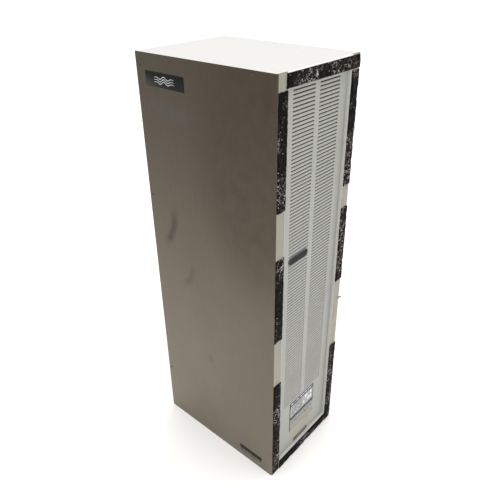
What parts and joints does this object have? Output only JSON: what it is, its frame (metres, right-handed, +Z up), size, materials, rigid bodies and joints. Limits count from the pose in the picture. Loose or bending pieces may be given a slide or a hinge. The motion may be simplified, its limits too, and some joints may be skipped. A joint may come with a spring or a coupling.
{
  "type": "enclosure air conditioner",
  "caption": "Tall narrow side-mount air conditioner for an electrical enclosure, with a gasketed flange round a louvered panel.",
  "frame": {"origin": "middle of the footprint, on the surface the base pan stands on", "axes": "+Z up, -Y out of the gasketed mounting face, +X to the right when facing that face from behind the unit"},
  "size_m": [0.3282, 0.4515, 1.2],
  "materials": {
    "stainless": "satin, smudged",
    "flange_metal": "satin",
    "painted_panel": "light grey satin paint",
    "galvanised": "galvanised",
    "screw_steel": "zinc plated",
    "foam": "closed-cell foam tape",
    "scrap_tape": "dull torn tape",
    "plate_black": "gloss black plate",
    "badge_black": "textured black with a pale rim",
    "label": "printed polyester label",
    "service_label": "printed polyester label",
    "rubber": "matte",
    "liner": "foam slab",
    "aluminium_fins": "thin bright fins",
    "copper": "bare copper",
    "motor_black": "black enamel",
    "fan_plastic": "moulded",
    "wheel_steel": "galvanised",
    "chrome_wire": "plated wire",
    "drain_plastic": "clear-grey hose",
    "beige_plastic": "moulded",
    "dark_plastic": "moulded",
    "blue_plastic": "moulded",
    "filter_mesh": "expanded mesh"
  },
  "bodies": {
    "cabinet": {"left_side_panel": "stainless", "right_side_panel": "stainless", "top_panel": "stainless", "base_pan": "stainless", "back_cover": "stainless", "cabinet_screws": "screw_steel", "louver_panel": "painted_panel", "left_gasket": "foam", "right_gasket": "foam", "top_gasket": "foam", "bottom_gasket": "foam", "gasket_scrap": "scrap_tape", "nameplate": "plate_black", "side_label": "label", "badge": "badge_black", "rating_label": "label", "service_label": "service_label", "grommets": "rubber", "bulkhead": "galvanised", "bulkhead_liner": "liner", "evaporator_tube": "copper", "evaporator_fins": "aluminium_fins", "evaporator_end_plates": "galvanised", "condenser_tube": "copper", "condenser_fins": "aluminium_fins", "condenser_end_plates": "galvanised", "drain_pan": "galvanised", "drain_tube": "drain_plastic", "blower_housing": "galvanised", "blower_deck": "galvanised", "blower_motor": "motor_black", "blower_bracket": "galvanised", "condenser_baffle": "galvanised", "fan_shroud": "galvanised", "fan_motor": "motor_black", "fan_bracket": "galvanised", "fan_guard": "chrome_wire", "compressor": "motor_black", "compressor_grommets": "rubber", "compressor_studs": "screw_steel", "accumulator": "motor_black", "suction_line": "copper", "discharge_line": "copper", "liquid_line": "copper", "filter_drier": "copper", "capillary_tube": "copper", "filter_rails": "galvanised", "control_box": "galvanised", "control_box_cover": "galvanised", "contactor": "beige_plastic", "run_capacitor": "galvanised", "capacitor_strap": "galvanised", "terminal_block": "blue_plastic", "thermostat": "beige_plastic"},
    "blower_rotor": {"blower_wheel": "wheel_steel"},
    "fan_rotor": {"condenser_fan": "fan_plastic"},
    "filter_cassette": {"filter_frame": "galvanised", "filter_mesh": "filter_mesh"},
    "plunger": {"contactor_plunger": "dark_plastic"},
    "knob": {"thermostat_knob": "dark_plastic"}
  },
  "joints": [
    {"name": "blower_spin", "type": "hinge", "parent": "cabinet", "child": "blower_rotor", "pos_m": [0, -0.1334, 0.8], "axis": [1, 0, 0], "continuous": true},
    {"name": "fan_spin", "type": "hinge", "parent": "cabinet", "child": "fan_rotor", "pos_m": [0, 0.2, 0.88], "axis": [0, 1, 0], "continuous": true},
    {"name": "filter_slide", "type": "slide", "parent": "cabinet", "child": "filter_cassette", "axis": [1, 0, 0], "range_m": [0, 0.28]},
    {"name": "plunger_press", "type": "slide", "parent": "cabinet", "child": "plunger", "axis": [0, 0, -1], "range_m": [0, 0.0025], "stiffness_N_per_m": 500, "springref_m": -0.002},
    {"name": "knob_turn", "type": "hinge", "parent": "cabinet", "child": "knob", "pos_m": [0.066, 0, 1.132], "axis": [0, 1, 0], "range_deg": [-135, 135]}
  ]
}
